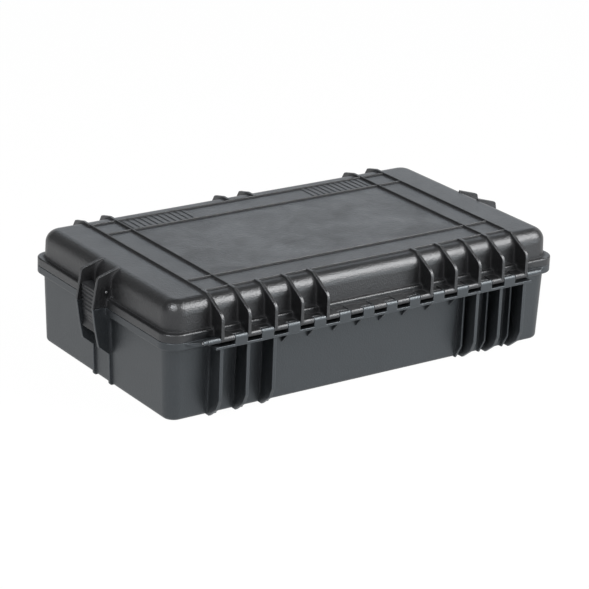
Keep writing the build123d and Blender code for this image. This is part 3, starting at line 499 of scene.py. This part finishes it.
class ShapeTree:
    """A Geometry Nodes tree with named inputs, which gives one plain mesh each time it runs."""

    def __init__(self, name: str, sizes: dict[str, str]) -> None:
        """Start the tree.

        Args:
            name: The tree's name.
            sizes: Each input's name and its socket type.
        """
        self.tree = bpy.data.node_groups.new(name, "GeometryNodeTree")
        self.identifiers = {}
        for label, kind in {**sizes, "Material": "NodeSocketMaterial"}.items():
            socket = self.tree.interface.new_socket(name=label, in_out="INPUT", socket_type=kind)
            self.identifiers[label] = socket.identifier
        self.tree.interface.new_socket(
            name="Shape", in_out="OUTPUT", socket_type="NodeSocketGeometry")
        self.sizes = add_node(self.tree, "NodeGroupInput").outputs

    def straight(self, half_length: Socket) -> Socket:
        """Draw a straight path along X, with its middle at the origin.

        Args:
            half_length: Half of its length.

        Returns:
            The path.
        """
        back = add_node(self.tree, "ShaderNodeMath", {
            0: half_length, 1: -1.0}, operation="MULTIPLY").outputs[0]
        first = add_node(self.tree, "ShaderNodeCombineXYZ", {"X": back}).outputs["Vector"]
        last = add_node(self.tree, "ShaderNodeCombineXYZ", {"X": half_length}).outputs["Vector"]
        return add_node(self.tree, "GeometryNodeCurvePrimitiveLine", {
            "Start": first, "End": last}).outputs["Curve"]

    def rounded(self, width: Socket, height: Socket, radius: Socket, steps: int) -> Socket:
        """Draw a rectangle with rounded corners, round the origin.

        Args:
            width: Its size in X.
            height: Its size in Y.
            radius: The corners' radius.
            steps: The points in each corner.

        Returns:
            The closed curve.
        """
        corners = add_node(self.tree, "GeometryNodeCurvePrimitiveQuadrilateral", {
            "Width": width, "Height": height}).outputs["Curve"]
        return add_node(self.tree, "GeometryNodeFilletCurve", {
            "Curve": corners, "Count": steps, "Radius": radius, "Limit Radius": True},
            mode="POLY").outputs["Curve"]

    def sweep(self, path: Socket, profile: Socket, scale: Socket | float = 1.0) -> Socket:
        """Sweep a closed profile along a path, with closed ends.

        Args:
            path: The curve that it follows.
            profile: The closed curve that is swept.
            scale: The profile's scale at each point of the path.

        Returns:
            The swept mesh.
        """
        upright = add_node(self.tree, "GeometryNodeSetCurveNormal", {
            "Curve": path}, mode="Z_UP").outputs["Curve"]
        return add_node(self.tree, "GeometryNodeCurveToMesh", {
            "Curve": upright, "Profile Curve": profile, "Scale": scale,
            "Fill Caps": True}).outputs["Mesh"]

    def close(self, shape: Socket, crease_angle: float = 0.8) -> None:
        """Shade the shape, make it real and dress it.

        Args:
            shape: The tree's last geometry.
            crease_angle: The turn between two faces, in radians, past which their edge stays sharp.
        """
        smooth = add_node(self.tree, "GeometryNodeSetShadeSmooth", {"Geometry": shape}).outputs["Geometry"]
        angle = add_node(self.tree, "GeometryNodeInputMeshEdgeAngle").outputs["Unsigned Angle"]
        sharp = add_node(self.tree, "ShaderNodeMath", {
            0: angle, 1: crease_angle}, operation="GREATER_THAN").outputs[0]
        creased = add_node(self.tree, "GeometryNodeSetShadeSmooth", {
            "Geometry": smooth, "Selection": sharp, "Shade Smooth": False},
            domain="EDGE").outputs["Geometry"]
        real = add_node(self.tree, "GeometryNodeRealizeInstances", {"Geometry": creased}).outputs["Geometry"]
        dressed = add_node(self.tree, "GeometryNodeSetMaterial", {
            "Geometry": real, "Material": self.sizes["Material"]}).outputs["Geometry"]
        add_node(self.tree, "NodeGroupOutput", {"Shape": dressed})

    def run(self, material: bpy.types.Material,
            values: dict[str, float | tuple[float, ...]]) -> bpy.types.Mesh:
        """Run the tree once.

        Args:
            material: The finish.
            values: Each input's value, by name.

        Returns:
            The plain mesh.
        """
        holder = bpy.data.objects.new(self.tree.name, bpy.data.meshes.new(self.tree.name))
        bpy.context.scene.collection.objects.link(holder)
        modifier = holder.modifiers.new(self.tree.name, "NODES")
        modifier.node_group = self.tree
        for label, value in {**values, "Material": material}.items():
            modifier[self.identifiers[label]] = value
        shaped = holder.evaluated_get(bpy.context.evaluated_depsgraph_get())
        mesh = bpy.data.meshes.new_from_object(shaped)
        bpy.data.objects.remove(holder)
        return mesh


def add_piece(name: str, meshes: list[bpy.types.Mesh], body: str) -> bpy.types.Object:
    """Join meshes to one piece and let it ride on its body.

    Args:
        name: The piece's name.
        meshes: Its meshes, with their place in them.
        body: The body that it rides on.

    Returns:
        The new piece.
    """
    whole = bmesh.new()
    for mesh in meshes:
        whole.from_mesh(mesh)
    whole.to_mesh(meshes[0])
    whole.free()
    piece = bpy.data.objects.new(name, meshes[0])
    bpy.context.scene.collection.objects.link(piece)
    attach(piece, body)
    log.info("piece %s: %d faces on %s", name, len(piece.data.polygons), body)
    return piece


@dataclass(frozen=True)
class BarRow:
    """Row of finger bars, with its places outward from the rim's face and up from the floor."""

    count: int
    start: Pair
    step: Pair
    tilt: float


@dataclass
class LeverGrips:
    """Rounded finger bars between the grooves of each latch lever."""

    bar_half_length: float = 21.3 * MM
    bar_half_width: float = 1.75 * MM
    bar_rise: float = 0.6 * MM
    bar_sides: int = 16
    rows: tuple[BarRow, ...] = (
        BarRow(6, start=(13.18 * MM, 120.4 * MM), step=(0.391 * MM, 7.2 * MM), tilt=0.0543),
        BarRow(2, start=(10.93 * MM, 106.7 * MM), step=(1.27 * MM, 6.3 * MM), tilt=0.199),
    )
    rim_half_depth: float = 215 * MM
    rim_half_length: float = 384 * MM
    places: tuple[str, ...] = ("front_left", "front_centre", "front_right", "side_left", "side_right")

    def build(self, finish: bpy.types.Material) -> None:
        """Build the bars of all five levers.

        Args:
            finish: The levers' finish.
        """
        shape = self.shape()
        for place in self.places:
            low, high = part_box("latch_lever_" + place)
            middle = (low + high) / 2
            if place.startswith("side"):
                turn = copysign(pi / 2, middle.x)
                origin = (copysign(self.rim_half_length, middle.x), middle.y, 0.0)
            else:
                turn = 0.0
                origin = (middle.x, -self.rim_half_depth, 0.0)
            meshes = []
            for row in self.rows:
                meshes.append(shape.run(finish, {
                    "Count": row.count, "Start": (0.0, -row.start[0], row.start[1]),
                    "Step": (0.0, -row.step[0], row.step[1]), "Tilt": (row.tilt, 0.0, 0.0),
                    "Half Length": self.bar_half_length, "Half Width": self.bar_half_width,
                    "Rise": self.bar_rise, "Origin": origin, "Turn": (0.0, 0.0, turn)}))
            add_piece("lever_grips_" + place, meshes, "lever_" + place)

    def shape(self) -> ShapeTree:
        """Make the tree: a row of bars with rounded backs.

        Returns:
            The closed tree.
        """
        shape = ShapeTree("finger_bars", {
            "Count": "NodeSocketInt", "Start": "NodeSocketVector", "Step": "NodeSocketVector",
            "Half Length": "NodeSocketFloat", "Half Width": "NodeSocketFloat",
            "Rise": "NodeSocketFloat", "Tilt": "NodeSocketVector", "Origin": "NodeSocketVector",
            "Turn": "NodeSocketVector"})
        tree, sizes = shape.tree, shape.sizes
        circle = add_node(tree, "GeometryNodeCurvePrimitiveCircle", {
            "Resolution": self.bar_sides, "Radius": 1.0}).outputs["Curve"]
        flat = add_node(tree, "ShaderNodeCombineXYZ", {
            "X": sizes["Rise"], "Y": sizes["Half Width"], "Z": 1.0}).outputs["Vector"]
        profile = add_node(tree, "GeometryNodeTransform", {
            "Geometry": circle, "Scale": flat}).outputs["Geometry"]
        bar = shape.sweep(shape.straight(sizes["Half Length"]), profile)
        points = add_node(tree, "GeometryNodeMeshLine", {
            "Count": sizes["Count"], "Start Location": sizes["Start"],
            "Offset": sizes["Step"]}).outputs["Mesh"]
        bars = add_node(tree, "GeometryNodeInstanceOnPoints", {
            "Points": points, "Instance": bar, "Rotation": sizes["Tilt"]}).outputs["Instances"]
        placed = add_node(tree, "GeometryNodeTransform", {
            "Geometry": bars, "Translation": sizes["Origin"],
            "Rotation": sizes["Turn"]}).outputs["Geometry"]
        shape.close(placed)
        return shape


@dataclass
class GripSleeve:
    """Soft sleeve moulded over the handle's bar, with finger rings and a slight swell for the palm.

    The shares are of the full girth: what a ring's groove, the ends and the swell take off it.
    """

    middle: Triple = (0.0, -223 * MM, 34 * MM)
    half_length: float = 55.8 * MM
    depth: float = 16.9 * MM
    height: float = 23.9 * MM
    corner: float = 7.4 * MM
    corner_steps: int = 6
    points: int = 241
    ring_pitch: float = 12 * MM
    ring_reach: float = 48 * MM
    ring_wave: Pair = (-0.55, -0.95)
    ring_share: float = 0.08
    end_length: float = 4 * MM
    end_power: float = 3.0
    end_share: float = 0.12
    swell_power: float = 2.0
    swell_share: float = 0.05

    def build(self, finish: bpy.types.Material) -> None:
        """Build the sleeve in place of the plain grip.

        Args:
            finish: The sleeve's finish.
        """
        shape = ShapeTree("grip_sleeve", {
            "Middle": "NodeSocketVector", "Half Length": "NodeSocketFloat",
            "Depth": "NodeSocketFloat", "Height": "NodeSocketFloat", "Corner": "NodeSocketFloat"})
        tree, sizes = shape.tree, shape.sizes
        path = add_node(tree, "GeometryNodeResampleCurve", {
            "Curve": shape.straight(sizes["Half Length"]), "Count": self.points}).outputs["Curve"]
        profile = shape.rounded(sizes["Depth"], sizes["Height"], sizes["Corner"], self.corner_steps)
        sleeve = shape.sweep(path, profile, self.girth(tree))
        placed = add_node(tree, "GeometryNodeTransform", {
            "Geometry": sleeve, "Translation": sizes["Middle"]}).outputs["Geometry"]
        shape.close(placed)
        mesh = shape.run(finish, {
            "Middle": self.middle, "Half Length": self.half_length, "Depth": self.depth,
            "Height": self.height, "Corner": self.corner})
        sleeve_piece = add_piece("handle_grip_sleeve", [mesh], "handle")
        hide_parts("handle_grip")

    def girth(self, tree: bpy.types.NodeTree) -> Socket:
        """Work out the sleeve's girth along its length: rings, rounded ends and the swell.

        Args:
            tree: The tree that it is worked out in.

        Returns:
            The profile's scale at each point, at most 1.
        """
        place = add_node(tree, "GeometryNodeInputPosition").outputs["Position"]
        along = add_node(tree, "ShaderNodeSeparateXYZ", {"Vector": place}).outputs["X"]
        far = add_node(tree, "ShaderNodeMath", {0: along}, operation="ABSOLUTE").outputs[0]
        phase = add_node(tree, "ShaderNodeMath", {
            0: along, 1: 2 * pi / self.ring_pitch}, operation="MULTIPLY").outputs[0]
        wave = add_node(tree, "ShaderNodeMath", {0: phase}, operation="COSINE").outputs[0]
        ring = add_node(tree, "ShaderNodeMapRange", {
            "Value": wave, "From Min": self.ring_wave[0], "From Max": self.ring_wave[1],
            "To Max": self.ring_share}, interpolation_type="SMOOTHSTEP").outputs["Result"]
        within = add_node(tree, "ShaderNodeMath", {
            0: far, 1: self.ring_reach}, operation="LESS_THAN").outputs[0]
        rings = add_node(tree, "ShaderNodeMath", {0: ring, 1: within}, operation="MULTIPLY").outputs[0]
        end = add_node(tree, "ShaderNodeMapRange", {
            "Value": far, "From Min": self.half_length - self.end_length,
            "From Max": self.half_length}).outputs["Result"]
        end_curve = add_node(tree, "ShaderNodeMath", {
            0: end, 1: self.end_power}, operation="POWER").outputs[0]
        share = add_node(tree, "ShaderNodeMath", {
            0: far, 1: 1 / self.half_length}, operation="MULTIPLY").outputs[0]
        swell = add_node(tree, "ShaderNodeMath", {
            0: share, 1: self.swell_power}, operation="POWER").outputs[0]
        girth = 1.0
        for amount, socket in ((1.0, rings), (self.end_share, end_curve), (self.swell_share, swell)):
            loss = add_node(tree, "ShaderNodeMath", {0: socket, 1: amount}, operation="MULTIPLY").outputs[0]
            girth = add_node(tree, "ShaderNodeMath", {0: girth, 1: loss}, operation="SUBTRACT").outputs[0]
        return girth


@dataclass
class LidSeal:
    """Solid rubber cord in the lid's channel, with rounded edges."""

    length: float = 755.6 * MM
    depth: float = 417.6 * MM
    corner: float = 21.8 * MM
    corner_steps: int = 14
    width: float = 6.7 * MM
    height: float = 4.0 * MM
    edge: float = 1.6 * MM
    edge_steps: int = 5
    middle_height: float = 139.4 * MM

    def build(self, finish: bpy.types.Material) -> None:
        """Build the seal in place of the plain gasket.

        Args:
            finish: The seal's finish.
        """
        shape = ShapeTree("lid_seal", {
            "Length": "NodeSocketFloat", "Depth": "NodeSocketFloat", "Corner": "NodeSocketFloat",
            "Width": "NodeSocketFloat", "Height": "NodeSocketFloat", "Edge": "NodeSocketFloat",
            "Place": "NodeSocketVector"})
        tree, sizes = shape.tree, shape.sizes
        path = shape.rounded(sizes["Length"], sizes["Depth"], sizes["Corner"], self.corner_steps)
        profile = shape.rounded(sizes["Width"], sizes["Height"], sizes["Edge"], self.edge_steps)
        seal = shape.sweep(path, profile)
        placed = add_node(tree, "GeometryNodeTransform", {
            "Geometry": seal, "Translation": sizes["Place"]}).outputs["Geometry"]
        shape.close(placed)
        mesh = shape.run(finish, {
            "Length": self.length, "Depth": self.depth, "Corner": self.corner, "Width": self.width,
            "Height": self.height, "Edge": self.edge, "Place": (0.0, 0.0, self.middle_height)})
        seal_piece = add_piece("lid_seal", [mesh], "lid")
        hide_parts("lid_gasket")


@dataclass
class PhotoCamera:
    """Camera at the photograph's view: a long lens, above the hinge side and one short side."""

    right: Triple = (-0.82553, 0.56313, 0.03724)
    up: Triple = (-0.17028, -0.31145, 0.93488)
    back: Triple = (0.53806, 0.76543, 0.35300)
    place: Triple = (2.2175, 3.1520, 1.5322)
    focal_pixels: float = 2456.57
    image_pixels: float = 589.0
    sensor: float = 36.0
    farthest: float = 60.0

    def build(self) -> None:
        """Make the scene's camera."""
        camera = bpy.data.objects.new("photo_camera", bpy.data.cameras.new("photo_camera"))
        bpy.context.scene.collection.objects.link(camera)
        turn = Matrix((self.right, self.up, self.back)).transposed().to_4x4()
        turn.translation = self.place
        camera.matrix_world = turn
        camera.data.sensor_width = self.sensor
        camera.data.lens = self.focal_pixels / self.image_pixels * self.sensor
        camera.data.clip_end = self.farthest
        bpy.context.scene.camera = camera


@dataclass
class SoftLamp:
    """One rectangular soft box, with its power in watts."""

    name: str
    place: Triple
    width: float
    height: float
    power: float
    colour: str

    def build(self, target: Triple) -> None:
        """Hang the lamp and turn it to the case.

        Args:
            target: The point that it faces.
        """
        lamp = bpy.data.lights.new(self.name, "AREA")
        lamp.shape = "RECTANGLE"
        lamp.size = self.width
        lamp.size_y = self.height
        lamp.energy = self.power
        lamp.color = to_linear(self.colour)[:3]
        holder = bpy.data.objects.new(self.name, lamp)
        holder.location = self.place
        towards = Vector(target) - Vector(self.place)
        holder.rotation_euler = towards.to_track_quat("-Z", "Y").to_euler()
        bpy.context.scene.collection.objects.link(holder)


@dataclass
class Studio:
    """White floor, plain surround and soft lamps.

    The surround is a white backdrop that reaches higher behind and before the case than at its ends,
    under a dim ceiling. Its heights are the Z of the direction that a ray leaves in.
    """

    target: Triple = (0.0, 0.0, 0.1)
    lamps: tuple[SoftLamp, ...] = (
        SoftLamp("main_softbox", (-1.2, 1.5, 1.7), 1.75, 1.5, 108.0, "#fffefc"),
        SoftLamp("side_softbox", (1.5, 0.8, 2.0), 0.7, 1.0, 52.0, "#ffffff"),
        SoftLamp("back_softbox", (-1.7, -2.5, 1.4), 3.0, 0.9, 7.3, "#d8ebfc"),
        SoftLamp("low_fill", (-1.5, 2.4, 0.3), 1.8, 0.5, 14.0, "#eef8fc"),
    )
    surround_colour: str = "#f4faf9"
    surround_strength: float = 0.22
    backdrop_side: Triple = (0.575, 0.818, 0.0)
    backdrop_share: Pair = (0.45, 0.85)
    wall_top: Pair = (0.08, 0.42)
    wall_fade: float = 0.13
    ceiling_tone: float = 0.16
    paper_colour: str = "#f2f2f2"
    paper_roughness: float = 0.9
    floor_half: float = 6.0
    floor_drop: float = 0.2 * MM
    floor_glow: float = 0.985

    def build(self) -> None:
        """Build the surround, the lamps and the floor."""
        scene = bpy.context.scene
        scene.view_settings.view_transform = "Standard"
        world = bpy.data.worlds.new("white_surround")
        world.use_nodes = True
        scene.world = world
        tree = world.node_tree
        light = tree.nodes["Background"]
        light.inputs["Color"].default_value = to_linear(self.surround_colour)
        light.inputs["Strength"].default_value = self.surround_strength
        white = add_node(tree, "ShaderNodeBackground", {"Color": WHITE, "Strength": self.backdrop(tree)})
        both = add_node(tree, "ShaderNodeMixShader", {
            0: self.seen_directly(tree), 1: light.outputs["Background"], 2: white.outputs["Background"]})
        tree.links.new(both.outputs["Shader"], tree.nodes["World Output"].inputs["Surface"])
        for lamp in self.lamps:
            lamp.build(self.target)
        self.build_floor()

    def backdrop(self, tree: bpy.types.NodeTree) -> Socket:
        """Work out how white the surround is, up to the backdrop's top and above it.

        Args:
            tree: The world's node tree.

        Returns:
            A strength of 1 near the horizon and the ceiling's tone above.
        """
        place = add_node(tree, "ShaderNodeTexCoord").outputs["Generated"]
        height = add_node(tree, "ShaderNodeSeparateXYZ", {"Vector": place}).outputs["Z"]
        towards = add_node(tree, "ShaderNodeVectorMath", {
            0: place, 1: self.backdrop_side}, operation="DOT_PRODUCT").outputs["Value"]
        share = add_node(tree, "ShaderNodeMath", {0: towards}, operation="ABSOLUTE").outputs[0]
        top = add_node(tree, "ShaderNodeMapRange", {
            "Value": share, "From Min": self.backdrop_share[0], "From Max": self.backdrop_share[1],
            "To Min": self.wall_top[0], "To Max": self.wall_top[1]},
            interpolation_type="SMOOTHSTEP").outputs["Result"]
        over = add_node(tree, "ShaderNodeMath", {0: height, 1: top}, operation="SUBTRACT").outputs[0]
        return add_node(tree, "ShaderNodeMapRange", {
            "Value": over, "From Min": 0.0, "From Max": self.wall_fade,
            "To Min": 1.0, "To Max": self.ceiling_tone},
            interpolation_type="SMOOTHSTEP").outputs["Result"]

    def seen_directly(self, tree: bpy.types.NodeTree) -> Socket:
        """Tell the rays that see the background: from the camera, a reflection or through glass.

        Args:
            tree: The node tree that uses it.

        Returns:
            A factor of 1 for those rays and 0 for the rest.
        """
        path = add_node(tree, "ShaderNodeLightPath").outputs
        either = add_node(tree, "ShaderNodeMath", {
            0: path["Is Camera Ray"], 1: path["Is Glossy Ray"]}, operation="MAXIMUM").outputs[0]
        return add_node(tree, "ShaderNodeMath", {
            0: either, 1: path["Is Transmission Ray"]}, operation="MAXIMUM").outputs[0]

    def build_floor(self) -> None:
        """Build the floor, which shows white but keeps a share of the case's shadow."""
        half = self.floor_half
        level = -self.floor_drop
        corners = [(-half, -half, level), (half, -half, level), (half, half, level), (-half, half, level)]
        mesh = bpy.data.meshes.new("studio_floor")
        mesh.from_pydata(corners, [], [(0, 1, 2, 3)])
        floor = bpy.data.objects.new("studio_floor", mesh)
        bpy.context.scene.collection.objects.link(floor)
        material, tree, paper = start_material("matte_white_paper")
        paper.inputs["Base Color"].default_value = to_linear(self.paper_colour)
        paper.inputs["Roughness"].default_value = self.paper_roughness
        glow = add_node(tree, "ShaderNodeEmission", {"Color": WHITE, "Strength": 1.0})
        share = add_node(tree, "ShaderNodeMath", {
            0: self.seen_directly(tree), 1: self.floor_glow}, operation="MULTIPLY").outputs[0]
        both = add_node(tree, "ShaderNodeMixShader", {
            0: share, 1: paper.outputs["BSDF"], 2: glow.outputs["Emission"]})
        tree.links.new(both.outputs["Shader"], tree.nodes["Material Output"].inputs["Surface"])
        mesh.materials.append(material)


def main() -> None:
    """Build the whole scene in order."""
    logging.basicConfig(level=logging.INFO, format="%(name)s: %(message)s")
    finishes = Finishes()
    CadNodes(finishes).dress()
    LeverGrips().build(finishes.nylon)
    GripSleeve().build(finishes.grip)
    LidSeal().build(finishes.gasket)
    PhotoCamera().build()
    Studio().build()


if __name__ == "__main__":
    main()
